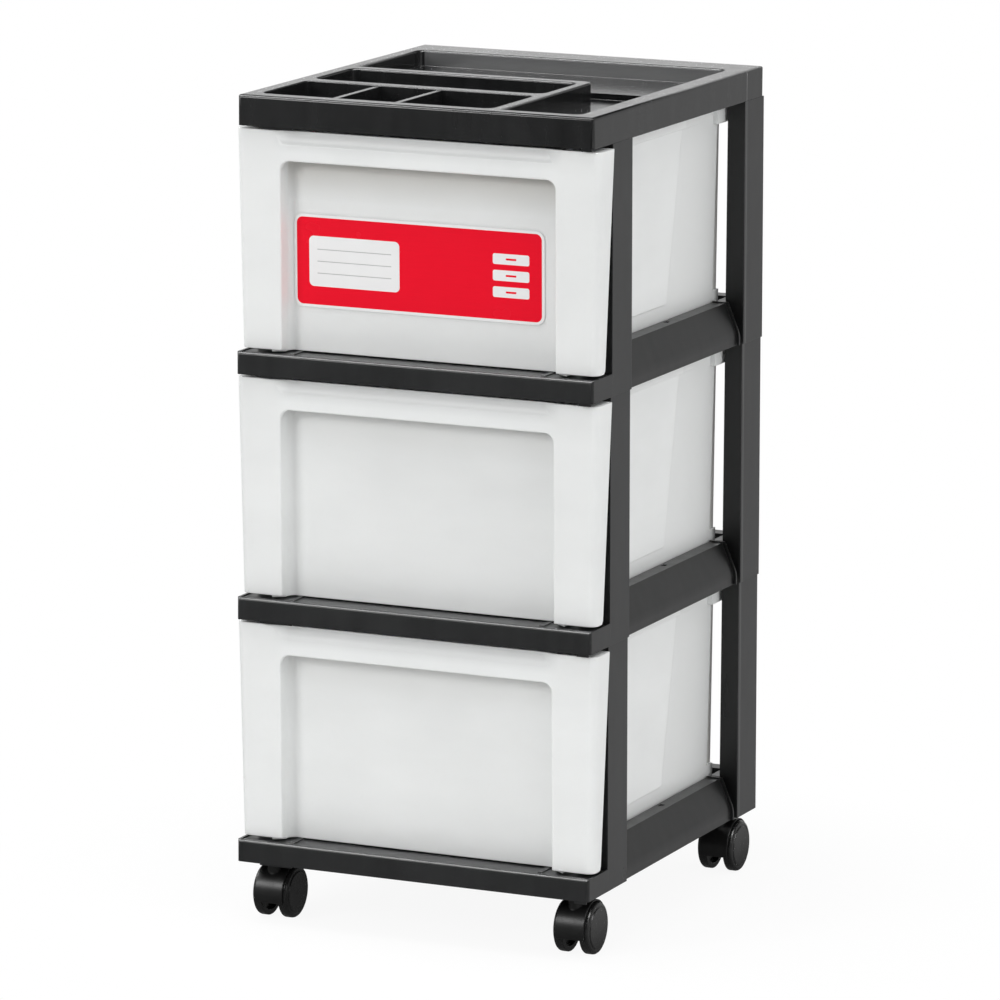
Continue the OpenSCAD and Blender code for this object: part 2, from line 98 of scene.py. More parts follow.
class Finish:  # a material or world whose nodes are being laid out
    def __init__(self, owner):
        owner.use_nodes = True
        self.tree = owner.node_tree
        self.tree.nodes.clear()

    def add(self, kind, settings=None, sockets=None, out=0):
        node = self.tree.nodes.new(kind)
        for key, given in (settings or {}).items():
            setattr(node, key, given)
        for key, given in (sockets or {}).items():
            link(self.tree, given, node.inputs[key])
        return Value(self.tree, node.outputs[out]) if node.outputs else node

    def place(self):  # x, y and z on the tower, in metres, and the point itself
        point = self.add("ShaderNodeTexCoord", out="Object")
        parts = self.tree.nodes.new("ShaderNodeSeparateXYZ")
        link(self.tree, point, parts.inputs[0])
        return [Value(self.tree, socket) for socket in parts.outputs] + [point]

    def noise(self, point, scale, detail=2.0, stretch=None):
        if stretch:
            point = self.add("ShaderNodeMapping", {}, {"Vector": point, "Scale": stretch})
        sockets = {"Vector": point, "Scale": scale, "Detail": detail, "Roughness": 0.55}
        return self.add("ShaderNodeTexNoise", {}, sockets)

    def spread(self, value, low, high, start=0.0, end=1.0):  # low..high onto start..end, clamped
        return self.add("ShaderNodeMapRange", {},
                        {"Value": value, "From Min": low, "From Max": high, "To Min": start, "To Max": end})

    def tint(self, factor, first, second):
        return self.add("ShaderNodeMix", {"data_type": "RGBA"}, {0: factor, 6: first, 7: second}, out=2)

    def box(self, x, z, middle, half, corner):  # distance outwards from a box with round corners
        across = (abs(x - middle[0]) - (half[0] - corner)).atLeast(0.0)
        upwards = (abs(z - middle[1]) - (half[1] - corner)).atLeast(0.0)
        return (across * across + upwards * upwards).root() - corner

    def bump(self, height, edge=0.0006):  # fine relief, on edges softened by a small radius
        soft = self.add("ShaderNodeBevel", {"samples": 5}, {"Radius": edge})
        return self.add("ShaderNodeBump", {}, {"Height": height, "Strength": 1.0, "Distance": 1.0, "Normal": soft})

    def surface(self, **sockets):
        names = {"colour": "Base Color", "rough": "Roughness", "metal": "Metallic", "normal": "Normal",
                 "specular": "Specular IOR Level", "coat": "Coat Weight", "coatRough": "Coat Roughness",
                 "under": "Subsurface Weight", "underScale": "Subsurface Scale", "underRadius": "Subsurface Radius"}
        shader = self.add("ShaderNodeBsdfPrincipled", {}, {names[key]: given for key, given in sockets.items()})
        self.add("ShaderNodeOutputMaterial", {}, {"Surface": shader})


def grey(level, cool=0.0):
    return (level * (1 - cool), level, level * (1 + cool), 1.0)


def milk(level):  # a white with a trace of green
    return (0.984 * level, level, 0.994 * level, 1.0)


# materials

# places are in metres: depth from the frames' lip, side from the middle
satin = {"base": 0.0105, "worn": 0.02, "cool": 0.03, "cloudScale": 14.0, "streakScale": (90.0, 90.0, 6.0),
         "streakShare": 0.6, "shade": (0.5, 1.1), "dustScale": 2600.0, "dustSpread": (0.74, 0.80), "dust": 0.06,
         "dustLevel": 0.3, "grainScale": 1300.0, "grainDepth": 0.000016, "waveScale": 38.0, "waveDepth": 0.00018,
         "streakDepth": 0.00001, "cloudRough": 0.10, "streakRough": 0.12, "dustRough": 0.08,
         "hiddenSide": (0.1520, 0.1512), "hiddenDepth": (0.02, 0.03), "hiddenLevel": 0.002,
         "wallFront": (0.3080, 0.3084), "wallBack": (0.3104, 0.3094), "wallTop": (0.6668, 0.6660),
         "wallFade": (0.650, 0.668), "wallShade": (0.6, 1.0), "paintedWallLevel": 0.115, "wallCool": 0.01}


def satinBlack(name, rough, specular, level, inside):  # injection-moulded black plastic of the frames and the tray
    # level scales the black, and inside is how dark the hidden sides get
    finish = Finish(bpy.data.materials.new(name))
    x, y, z, point = finish.place()
    depth = y - tower["lip"]
    cloud = finish.noise(point, satin["cloudScale"], detail=3.0)
    streak = finish.noise(point, 1.0, detail=3.0, stretch=satin["streakScale"])
    grain = finish.noise(point, satin["grainScale"], detail=1.0)
    dust = finish.spread(finish.noise(point, satin["dustScale"], detail=0.0), *satin["dustSpread"])
    wave = finish.noise(point, satin["waveScale"], detail=1.0)
    shade = finish.spread(cloud + satin["streakShare"] * streak, *satin["shade"])
    black, worn = (grey(level * satin[key], satin["cool"]) for key in ("base", "worn"))
    colour = finish.tint(shade, black, worn)
    colour = finish.tint(satin["dust"] * dust, colour, grey(satin["dustLevel"]))
    # darker between the posts, where little light comes in
    hidden = finish.spread(abs(x), *satin["hiddenSide"]) * finish.spread(depth, *satin["hiddenDepth"])
    colour = finish.tint(inside * hidden, colour, grey(satin["hiddenLevel"]))
    # the back wall of the tray's rear compartment catches the light
    lit = finish.spread(depth, *satin["wallFront"]) * finish.spread(depth, *satin["wallBack"])
    lit = lit * finish.spread(z, *satin["wallTop"]) * finish.spread(z, *satin["wallFade"], *satin["wallShade"])
    colour = finish.tint(lit, colour, grey(satin["paintedWallLevel"], satin["wallCool"]))
    rough = rough + satin["cloudRough"] * (cloud - 0.5) + satin["streakRough"] * (streak - 0.5)
    relief = satin["grainDepth"] * grain + satin["waveDepth"] * wave + satin["streakDepth"] * streak
    finish.surface(colour=colour, specular=specular, rough=rough + satin["dustRough"] * dust,
                   normal=finish.bump(relief))
    return bpy.data.materials[name]


# heights are measured from each drawer's underside
milky = {"base": 0.85, "thick": 0.79, "cloudScale": 9.0, "flowScale": (14.0, 14.0, 40.0), "flowShare": 0.4,
         "shade": (0.45, 0.95), "fleckScale": 1500.0, "fleckSpread": (0.76, 0.82), "fleck": 0.10, "fleckLevel": 0.45,
         "rough": 0.36, "flowRough": 0.10, "cloudRough": 0.06, "grainScale": 900.0, "grainDepth": 0.000008,
         "waveScale": 22.0, "waveDepth": 0.00035, "edge": 0.0009, "specular": 0.42, "under": 0.35,
         "underScale": 0.004, "underRadius": (1.0, 1.0, 1.05), "floor": 0.0689, "step": 0.0004,
         "wallSide": (0.1245, 0.1250), "wallDepth": (0.034, 0.035), "paintedWallLevel": 0.77, "raisedFoot": 0.0272,
         "raisedEnd": 0.203, "raisedLean": 0.0232 / 0.148, "raisedBlur": 0.0006, "strip": 0.3008,
         "stripEnds": (0.0245, 0.1615), "stripShade": (0.66, 0.65, 0.62, 1.0), "panelSide": (0.1178, 0.1170),
         "panelFront": (0.0175, 0.0195), "panelBack": (0.030, 0.029), "panelTop": (0.120, 0.148),
         "panelEdge": (0.1530, 0.1490), "edgeShade": (0.5, 1.0), "panelShadeColour": (0.56, 0.55, 0.52, 1.0),
         "topDrawer": (0.45, 0.52), "panelShade": (0.25, 0.9), "scoopSide": (0.124, 0.110),
         "scoopDepth": (0.013, 0.012), "scoopRise": (0.159, 0.171), "scoopTop": (0.1758, 0.1745), "scoop": 0.75,
         "scoopShadeLevel": 0.66}


def milkyPlastic():  # translucent white polypropylene of the drawers, with painted shade where a wall is thin, on the panel under the pull band and in the scoop
    finish = Finish(bpy.data.materials.new("milkyPlastic"))
    x, y, z, point = finish.place()
    height = (z - milky["floor"]) % tower["pitch"]
    depth = y - tower["lip"]
    cloud = finish.noise(point, milky["cloudScale"])
    flow = finish.noise(point, 1.0, stretch=milky["flowScale"])
    fleck = finish.spread(finish.noise(point, milky["fleckScale"], detail=0.0), *milky["fleckSpread"])
    # the side walls' raised areas, which end in a slant, and the strips at their rear corners, for painted shade on
    # the thinner wall and on the strips
    foot, step, blur = milky["raisedFoot"], milky["step"], milky["raisedBlur"]
    wall = finish.spread(abs(x), *milky["wallSide"]) * finish.spread(depth, *milky["wallDepth"])
    end = milky["raisedEnd"] + (height - foot) * milky["raisedLean"]
    raisedArea = finish.spread(end - depth, -blur, blur) * finish.spread(height, foot - step, foot)
    low, high = milky["stripEnds"]
    strip = finish.spread(depth, milky["strip"], milky["strip"] + step)
    strip = strip * finish.spread(height, low, low + step) * finish.spread(height, high + step, high)
    # painted shade on the front panel's top under the pull band, and on the upper part of the scoop over the band
    panel = finish.spread(abs(x), *milky["panelSide"]) * finish.spread(depth, *milky["panelFront"])
    panel = panel * finish.spread(depth, *milky["panelBack"]) * finish.spread(height, *milky["panelTop"])
    panel = panel * finish.spread(height, *milky["panelEdge"], *milky["edgeShade"])
    panel = panel * finish.spread(z, *milky["topDrawer"], *milky["panelShade"])
    scoop = finish.spread(abs(x), *milky["scoopSide"]) * finish.spread(depth, *milky["scoopDepth"])
    scoop = scoop * finish.spread(height, *milky["scoopRise"]) * finish.spread(height, *milky["scoopTop"])
    shade = finish.spread(cloud + milky["flowShare"] * flow, *milky["shade"])
    colour = finish.tint(shade, milk(milky["base"]), milk(milky["thick"]))
    # painted shade on the scoop's upper part, which faces down
    colour = finish.tint(milky["scoop"] * scoop, colour, milk(milky["scoopShadeLevel"]))
    # painted shade: the side walls greyer outside their raised areas
    colour = finish.tint(wall * (1.0 - raisedArea), colour, milk(milky["paintedWallLevel"]))
    # painted shade on the rear corner strips, a darker beige
    colour = finish.tint(wall * strip, colour, milky["stripShade"])
    # painted shadow on the panel's top under the pull band
    colour = finish.tint(panel, colour, milky["panelShadeColour"])
    colour = finish.tint(milky["fleck"] * fleck, colour, grey(milky["fleckLevel"]))
    relief = milky["grainDepth"] * finish.noise(point, milky["grainScale"], detail=1.0)
    relief = relief + milky["waveDepth"] * finish.noise(point, milky["waveScale"], detail=1.0)
    finish.surface(colour=colour, specular=milky["specular"], normal=finish.bump(relief, milky["edge"]),
                   rough=milky["rough"] + milky["flowRough"] * (flow - 0.5) + milky["cloudRough"] * (cloud - 0.5),
                   under=milky["under"], underScale=milky["underScale"], underRadius=milky["underRadius"])
    return bpy.data.materials["milkyPlastic"]


nylon = {"cloudScale": 60.0, "scuffScale": (420.0, 160.0, 160.0), "scuffSpread": (0.55, 0.75), "worn": 1.7,
         "grainScale": 1600.0, "grainDepth": 0.000010, "waveScale": 90.0, "waveDepth": 0.00004, "specular": 0.40,
         "cloudRough": 0.10, "scuffRough": 0.12}


def casterPlastic(name, rough, base):  # hard nylon of the caster wheels and hoods
    finish = Finish(bpy.data.materials.new(name))
    point = finish.place()[-1]
    cloud = finish.noise(point, nylon["cloudScale"], detail=3.0)
    scuff = finish.noise(point, 1.0, detail=4.0, stretch=nylon["scuffScale"])
    scuff = finish.spread(scuff, *nylon["scuffSpread"])
    relief = nylon["grainDepth"] * finish.noise(point, nylon["grainScale"], detail=1.0)
    relief = relief + nylon["waveDepth"] * finish.noise(point, nylon["waveScale"], detail=1.0)
    finish.surface(colour=finish.tint(cloud, grey(base), grey(nylon["worn"] * base)), specular=nylon["specular"],
                   rough=rough + nylon["cloudRough"] * (cloud - 0.5) + nylon["scuffRough"] * scuff,
                   normal=finish.bump(relief))
    return bpy.data.materials[name]


label = {"middle": (-0.0055, -0.15302, 0.5365), "half": (0.1075, 0.037), "corner": 0.0075, "thick": 0.0004,
         "lean": -0.02268, "border": 0.0023,
         "red": (0.86, 0.0030, 0.0215, 1.0), "deepRed": (0.80, 0.0024, 0.0190, 1.0),
         "fieldAt": (-0.061, 0.5365), "fieldHalf": (0.039, 0.020), "fieldCorner": 0.004,
         "lines": (0.5460, 0.5365, 0.5270), "lineHalf": (0.032, 0.0003), "lineCorner": 0.0002,
         "barSide": 0.0735, "bars": (0.5495, 0.5365, 0.5235), "barHalf": (0.0155, 0.0042), "barCorner": 0.0016,
         "slotHalf": (0.0045, 0.0008), "slotCorner": 0.0006, "blur": 0.00008, "inkScale": (60.0, 60.0, 900.0),
         "cloudScale": 30.0, "paper": (0.80, 0.86), "line": 0.8, "lineLevel": 0.30, "specular": 0.2, "rough": 0.22,
         "cloudRough": 0.08, "coat": 0.06, "coatRough": 0.1, "relief": 0.00006, "edge": 0.0001}


def labelFilm():  # red film with a white border, a field to write on and a sign of three bars
    finish = Finish(bpy.data.materials.new("labelFilm"))
    x, _, z, point = finish.place()

    def inside(middle, half, corner):
        return finish.spread(finish.box(x, z, middle, half, corner), label["blur"], -label["blur"])

    middle = (label["middle"][0], label["middle"][2])
    red = inside(middle, [side - label["border"] for side in label["half"]], label["corner"] - label["border"])
    ink = finish.noise(point, 1.0, stretch=label["inkScale"])
    cloud = finish.noise(point, label["cloudScale"])
    paper = finish.tint(cloud, *(grey(level) for level in label["paper"]))
    colour = finish.tint(red, paper, finish.tint(ink, label["red"], label["deepRed"]))
    colour = finish.tint(inside(label["fieldAt"], label["fieldHalf"], label["fieldCorner"]), colour, paper)
    for height in label["lines"]:
        line = inside((label["fieldAt"][0], height), label["lineHalf"], label["lineCorner"])
        colour = finish.tint(label["line"] * line, colour, grey(label["lineLevel"]))
    for height in label["bars"]:
        bar = (label["barSide"], height)
        colour = finish.tint(inside(bar, label["barHalf"], label["barCorner"]), colour, paper)
        colour = finish.tint(inside(bar, label["slotHalf"], label["slotCorner"]), colour, label["red"])
    finish.surface(colour=colour, specular=label["specular"], rough=label["rough"] + label["cloudRough"] * cloud,
                   coat=label["coat"], coatRough=label["coatRough"],
                   normal=finish.bump(label["relief"] * cloud, label["edge"]))
    return bpy.data.materials["labelFilm"]


zinc = {"dark": (0.50, 0.51, 0.53, 1.0), "pale": (0.66, 0.66, 0.65, 1.0), "cloudScale": 260.0,
        "brushScale": (300.0, 300.0, 2600.0), "brushDepth": 0.000006, "rough": 0.28, "cloudRough": 0.2,
        "brushRough": 0.1}


def zincSteel():  # of the stems, grip rings and axles
    finish = Finish(bpy.data.materials.new("zincSteel"))
    point = finish.place()[-1]
    cloud = finish.noise(point, zinc["cloudScale"], detail=3.0)
    brush = finish.noise(point, 1.0, stretch=zinc["brushScale"])
    finish.surface(colour=finish.tint(cloud, zinc["dark"], zinc["pale"]), metal=1.0,
                   rough=zinc["rough"] + zinc["cloudRough"] * (cloud - 0.5) + zinc["brushRough"] * (brush - 0.5),
                   normal=finish.bump(zinc["brushDepth"] * brush))
    return bpy.data.materials["zincSteel"]


blackSatin = satinBlack("blackSatin", rough=0.31, specular=0.40, level=1.0, inside=0.7)
blackTray = satinBlack("blackTray", rough=0.19, specular=0.42, level=0.72, inside=0.0)
milkyWhite = milkyPlastic()
hoodBlack = casterPlastic("hoodBlack", rough=0.32, base=0.006)
wheelBlack = casterPlastic("wheelBlack", rough=0.24, base=0.008)
labelRed = labelFilm()
steelZinc = zincSteel()
print("materials made")


# mesh helpers

# sizes are in metres, and the limits that pick edges and corners in mm from the lip and the floor
lip = 1000 * tower["lip"]


def copyOf(nodeName):  # a CAD node's mesh, its loose triangles joined into flat faces
    mesh = bmesh.new()
    mesh.from_mesh(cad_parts[nodeName].data)
    bmesh.ops.remove_doubles(mesh, verts=mesh.verts, dist=1e-6)
    bmesh.ops.dissolve_limit(mesh, angle_limit=radians(0.5), verts=mesh.verts, edges=mesh.edges)
    return mesh


def sharpEdges(mesh, where=None, angle=30):
    # where is asked of an edge's middle and of its direction
    found = []
    for edge in mesh.edges:
        if len(edge.link_faces) == 2 and edge.calc_face_angle() > radians(angle):
            first, second = (1000 * vert.co - Vector((0, lip, 0)) for vert in edge.verts)
            if where is None or where((first + second) / 2, (second - first).normalized()):
                found.append(edge)
    return found


def roundOff(mesh, edges, width, segments=2):
    bmesh.ops.bevel(mesh, geom=edges, offset=width, offset_type="OFFSET", affect="EDGES", segments=segments,
                    profile=0.5, material=-1, clamp_overlap=False)


def only(kind, parts):
    return [part for part in parts if isinstance(part, kind)]


def turnCorner(mesh, side, end, way, radius, steps=6):  # an upright corner, cut round in flats
    outwards = 1 if side > 0 else -1
    middle = Vector((side - radius * outwards, end - way * radius, 0))
    for step in range(1, steps):
        angle = step * pi / 2 / steps
        normal = Vector((sin(angle) * outwards, way * cos(angle), 0))
        cut = bmesh.ops.bisect_plane(mesh, geom=mesh.verts[:] + mesh.edges[:] + mesh.faces[:], dist=1e-7,
                                     plane_co=middle + radius * normal, plane_no=normal, clear_outer=True)
        bmesh.ops.holes_fill(mesh, edges=only(bmesh.types.BMEdge, cut["geom_cut"]), sides=0)


def spun(points, start=0.0, sweep=2 * pi, steps=96):  # (radius, across) points, turned about the X axis
    mesh = bmesh.new()
    verts = [mesh.verts.new((across, 0, radius)) for radius, across in points]
    edges = [mesh.edges.new(pair) for pair in zip(verts, verts[1:])]
    whole = sweep == 2 * pi
    if not whole:
        edges += [mesh.edges.new((verts[-1], verts[0])), mesh.faces.new(verts)]
    bmesh.ops.rotate(mesh, verts=verts, cent=(0, 0, 0), matrix=Matrix.Rotation(start, 3, "X"))
    bmesh.ops.spin(mesh, geom=verts + edges, cent=(0, 0, 0), axis=(1, 0, 0), angle=sweep, steps=steps,
                   use_merge=whole)
    bmesh.ops.remove_doubles(mesh, verts=mesh.verts, dist=1e-6)
    bmesh.ops.recalc_face_normals(mesh, faces=mesh.faces)
    return mesh


def keep(mesh, name, body, nodes, material, sharp=50):
    for face in mesh.faces:
        face.smooth = True
    for edge in mesh.edges:
        edge.smooth = len(edge.link_faces) == 2 and edge.calc_face_angle() < radians(sharp)
    data = bpy.data.meshes.new(name)
    mesh.to_mesh(data)
    mesh.free()
    data.materials.append(material)
    piece = bpy.data.objects.new(name, data)
    bpy.context.scene.collection.objects.link(piece)
    even = piece.modifiers.new("evenNormals", "WEIGHTED_NORMAL")
    even.keep_sharp = True
    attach(piece, body)
    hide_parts(*nodes)
    return piece


def raised(mesh, height):  # a copy of a mesh, higher up
    copy = mesh.copy()
    bmesh.ops.translate(copy, verts=copy.verts, vec=(0, 0, height))
    return copy


tiers = ("bottom", "middle", "top")

# tier frames: one is made at the bottom and repeated

frameShape = {"side": 0.153, "corner": 0.003, "crease": 0.0035, "railFoot": 1000 * tower["casterDrop"] + 9,
              "railSide": 149, "railEnds": (70, 300), "near": 0.1, "bend": 12}


def onRailFoot(mid, way):  # the long crease where a rail's foot turns outwards
    first, last = frameShape["railEnds"]
    along = abs(way.y) > 0.9 and first < mid.y < last
    low = abs(mid.z - frameShape["railFoot"]) < frameShape["near"]
    return along and low and abs(mid.x) > frameShape["railSide"]


mesh = copyOf("tier_frame_bottom")
for side in (-frameShape["side"], frameShape["side"]):
    turnCorner(mesh, side, tower["lip"], -1, frameShape["corner"])
roundOff(mesh, sharpEdges(mesh, onRailFoot, frameShape["bend"]), frameShape["crease"], segments=4)
for index, tier in enumerate(tiers):
    keep(raised(mesh, index * tower["pitch"]), "frame_" + tier, "tower", ["tier_frame_" + tier],
         blackSatin)
mesh.free()
print("frames done")

# organizer tray

trayShape = {"side": 0.15175, "ends": (-0.17545, 0.16805), "corner": 0.003, "top": 667.5, "rim": 0.0018,
             "dividedRim": 0.0009, "rimSide": 145, "rimEnds": (10, 330), "firstRow": (62, 105), "near": 0.02}


def onRim(mid):  # the upper edges of the compartments
    first, last = trayShape["rimEnds"]
    high = abs(mid.z - trayShape["top"]) < trayShape["near"]
    return high and abs(mid.x) < trayShape["rimSide"] and first < mid.y < last


def inFirstRow(mid):  # where dividers end just below the rim
    side, depth = trayShape["firstRow"]
    return mid.x < side and mid.y < depth


mesh = copyOf("organizer_top")
for side in (-trayShape["side"], trayShape["side"]):
    for end, way in zip(trayShape["ends"], (-1, 1)):
        turnCorner(mesh, side, end, way, trayShape["corner"])
for front, width in ((True, trayShape["dividedRim"]), (False, trayShape["rim"])):
    rims = sharpEdges(mesh, lambda mid, way: onRim(mid) and inFirstRow(mid) == front)
    roundOff(mesh, rims, width, segments=4)
keep(mesh, "tray", "tower", ["organizer_top"], blackTray)
print("tray done")

# drawers: one is made at the bottom and repeated

# the front face leans back from faceFoot, measured from the lip, by faceLean over its height
drawerShape = {"floor": 68.9, "side": 117.5, "faceFoot": 9, "faceStart": 1.8, "faceLean": 4 / 174.6,
               "footTop": 71, "footBack": 10, "footStep": 0.006, "scoopFoot": 233, "scoopTop": 245, "scoopDepth": 3.2,
               "scoopFade": (0.009, 0.0085), "recess": 0.0015, "recessCorner": 0.006, "recessBack": (20, 25.1),
               "bandFoot": 221.4, "near": 0.05, "faceNear": 0.12, "footNear": 0.5}


def behindFace(point):  # how far a point lies behind the drawer's leaning front face
    height = point.z - drawerShape["floor"] - drawerShape["faceStart"]
    return point.y - drawerShape["faceFoot"] + height * drawerShape["faceLean"]


def onRecess(mid, way):  # the front recess's outline
    between = abs(mid.x) < drawerShape["side"] + 2 * drawerShape["near"]
    between = between and drawerShape["footTop"] < mid.z < drawerShape["bandFoot"]
    return between and abs(behindFace(mid)) < drawerShape["faceNear"]


def onSide(point):  # in the plane of one of the recess's sides
    return abs(abs(point.x) - drawerShape["side"]) < drawerShape["near"]


def inRecessCorner(mid, way):  # the upright edges between the recess's sides and the panel
    first, last = drawerShape["recessBack"]
    return abs(way.z) > 0.9 and first < mid.y < last and onSide(mid)


mesh = copyOf("drawer_bottom")
for vert in mesh.verts:
    point = 1000 * vert.co - Vector((0, lip, 0))
    if onSide(point):
        inwards, outwards = drawerShape["scoopFade"]
        side, depth = (1 if point.x > 0 else -1), behindFace(point)
        if point.z < drawerShape["footTop"] and abs(point.y - drawerShape["footBack"]) < drawerShape["footNear"]:
            vert.co.y += drawerShape["footStep"]  # the foot under the front starts further back
        elif point.z > drawerShape["scoopFoot"] and point.y < drawerShape["faceFoot"]:
            # the scoop over the pull band fades out at its ends
            if depth >= drawerShape["near"]:
                vert.co.x -= side * inwards * depth / drawerShape["scoopDepth"]
            elif point.z > drawerShape["scoopTop"]:
                vert.co.x += side * outwards
roundOff(mesh, sharpEdges(mesh, onRecess), drawerShape["recess"], segments=4)
roundOff(mesh, sharpEdges(mesh, inRecessCorner), drawerShape["recessCorner"], segments=6)
for index, tier in enumerate(tiers):
    keep(raised(mesh, index * tower["pitch"]), "bin_" + tier, "drawer_" + tier, ["drawer_" + tier],
         milkyWhite)
mesh.free()
print("drawers done")

# label on the top drawer's panel: a plate with round corners that leans as the panel does

mesh = bmesh.new()
bmesh.ops.create_grid(mesh, x_segments=1, y_segments=1, size=1.0)
bmesh.ops.scale(mesh, verts=mesh.verts, vec=(*label["half"], 1))
bmesh.ops.bevel(mesh, geom=mesh.verts[:], offset=label["corner"], offset_type="OFFSET", affect="VERTICES",
                segments=10, profile=0.5, material=-1, clamp_overlap=False)
plate = bmesh.ops.extrude_face_region(mesh, geom=mesh.faces[:])["geom"]
bmesh.ops.translate(mesh, verts=only(bmesh.types.BMVert, plate), vec=(0, 0, label["thick"]))
bmesh.ops.recalc_face_normals(mesh, faces=mesh.faces)
bmesh.ops.rotate(mesh, verts=mesh.verts, cent=(0, 0, 0), matrix=Matrix.Rotation(pi / 2 - label["lean"], 3, "X"))
bmesh.ops.translate(mesh, verts=mesh.verts, vec=label["middle"])
keep(mesh, "label", "drawer_top", ["front_label"], labelRed)
print("label done")

# casters

wheelShape = {"radius": 0.021, "between": 0.02330, "trail": 0.0095, "stemX": 0.1315, "stemY": 0.0254,
              "depth": 0.345, "edge": 0.0003, "bore": 5.5, "inner": -4.5, "bend": 35}
# (radius, across) in mm, from the hub's inner end over the tread to the outer end
wheelSection = [(0.0, 1.75), (2.05, 1.75), (2.05, -4.25), (6.5, -4.25), (6.5, -0.75), (16.6, -0.75), (16.6, -4.25),
                (20.5, -4.25), (21.0, -3.7), (21.0, 1.1), (20.75, 2.1), (20.1, 2.95), (19.2, 3.45), (18.2, 3.62),
                (17.3, 3.65), (17.2, 3.35), (16.8, 3.35), (16.6, 3.6), (16.35, 4.1), (15.9, 4.25), (0.0, 4.25)]
hoodShape = {"inner": 0.0215, "outer": 0.0228, "half": 0.0122, "rear": 20, "sweep": 175.3, "web": 0.0128,
             "webOver": 0.0004, "cut": 0.015, "bossRadius": 0.006, "bossTop": 0.0493, "bossFoot": 0.026,
             "edge": 0.00045, "bend": 35}


def onRing(mid, way):  # the sharp rings outside the hub, on a wheel that is made around the origin
    return mid.x > wheelShape["inner"] and (mid + Vector((0, lip, 0))).yz.length > wheelShape["bore"]


wheel = spun([(0.001 * radius, 0.001 * across) for radius, across in wheelSection])
roundOff(wheel, sharpEdges(wheel, onRing, wheelShape["bend"]), wheelShape["edge"])


def hoodMesh():
    inner, outer, half = (hoodShape[key] for key in ("inner", "outer", "half"))
    # turned from the open back, over the top, to the front edge
    cover = spun([(inner, -half), (outer, -half), (outer, half), (inner, half)],
                 start=radians(hoodShape["rear"] - 90), sweep=radians(hoodShape["sweep"]), steps=72)
    roundOff(cover, sharpEdges(cover, angle=hoodShape["bend"]), hoodShape["edge"], segments=3)
    radius = inner + hoodShape["webOver"]
    web = bmesh.ops.create_cone(cover, cap_ends=True, segments=96, radius1=radius, radius2=radius,
                                depth=hoodShape["web"], matrix=Matrix.Rotation(pi / 2, 4, "Y"))["verts"]
    edges = {edge for vert in web for edge in vert.link_edges}
    faces = {face for vert in web for face in vert.link_faces}
    cut = bmesh.ops.bisect_plane(cover, geom=web + list(edges) + list(faces), plane_no=(0, 0, -1),
                                 plane_co=(0, 0, hoodShape["cut"] - wheelShape["radius"]), clear_outer=True)
    bmesh.ops.contextual_create(cover, geom=only(bmesh.types.BMEdge, cut["geom_cut"]))
    bmesh.ops.translate(cover, verts=cover.verts, vec=(0, wheelShape["trail"], wheelShape["radius"]))
    foot, top, radius = hoodShape["bossFoot"], hoodShape["bossTop"], hoodShape["bossRadius"]
    bmesh.ops.create_cone(cover, cap_ends=True, segments=48, radius1=radius, radius2=radius, depth=top - foot,
                          matrix=Matrix.Translation((0, 0, (top + foot) / 2)))
    bmesh.ops.recalc_face_normals(cover, faces=cover.faces)
    return cover


hood = hoodMesh()
for corner in ("fl", "fr", "rl", "rr"):
    stem = Vector((wheelShape["stemX"] * (1 if corner[1] == "r" else -1), tower["lip"] + wheelShape["stemY"], 0))
    if corner[0] == "r":
        stem.y = tower["lip"] + wheelShape["depth"] - wheelShape["stemY"]
    copy = hood.copy()
    bmesh.ops.translate(copy, verts=copy.verts, vec=stem)
    keep(copy, "hood_" + corner, "caster_" + corner, [f"caster_{corner}_hood"], hoodBlack)
    for side, way in (("left", -1), ("right", 1)):
        copy = wheel.copy()
        bmesh.ops.scale(copy, verts=copy.verts, vec=(way, 1, 1))
        bmesh.ops.recalc_face_normals(copy, faces=copy.faces)
        axle = Vector((way * wheelShape["between"] / 2, wheelShape["trail"], wheelShape["radius"]))
        bmesh.ops.translate(copy, verts=copy.verts, vec=stem + axle)
        node = f"caster_{corner}_wheel_{side}"
        keep(copy, f"wheel_{corner}_{side}", node, [node], wheelBlack)
hood.free()
wheel.free()
for name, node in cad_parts.items():  # stems, grip rings and axles keep their own shape
    if name.endswith(("_stem", "_axle", "_grip_ring")):
        node.material_slots[0].material = steelZinc
print("casters done")

# camera

view = {"azimuth": 24.30, "elevation": 11.19, "roll": 0.346, "place": (2.175, -4.82595, 1.3735), "lens": 241.34,
        "sensor": 36.0, "farEnd": 100.0}
azimuth, elevation = radians(view["azimuth"]), radians(view["elevation"])
back = Vector((sin(azimuth) * cos(elevation), -cos(azimuth) * cos(elevation), sin(elevation)))
right = Vector((0, 0, 1)).cross(back).normalized()
turn = Matrix((right, back.cross(right), back)).transposed() @ Matrix.Rotation(radians(view["roll"]), 3, "Z")
lens = bpy.data.cameras.new("camera")
lens.lens = view["lens"]
lens.sensor_width = view["sensor"]
lens.clip_end = view["farEnd"]
camera = bpy.data.objects.new("camera", lens)
camera.matrix_world = Matrix.Translation(view["place"]) @ turn.to_4x4()
bpy.context.scene.collection.objects.link(camera)
bpy.context.scene.camera = camera

# floor, world and lamps

# spreads run from where a part of the room begins to where it is full: in metres on the floor, in directions around
studio = {"sky": 0.52, "side": 0.34, "sideSpread": (0.1, 0.8), "backdropDepth": (-0.1, 0.35),
          "backdropTop": (0.42, 0.28), "floorHalf": 2.5, "paint": (0.30, 0.97), "paintSpread": (-1.5, -0.3),
          "shadow": 0.08, "shadowEnd": (0.26, 0.46), "aim": (0, 0, 0.35)}
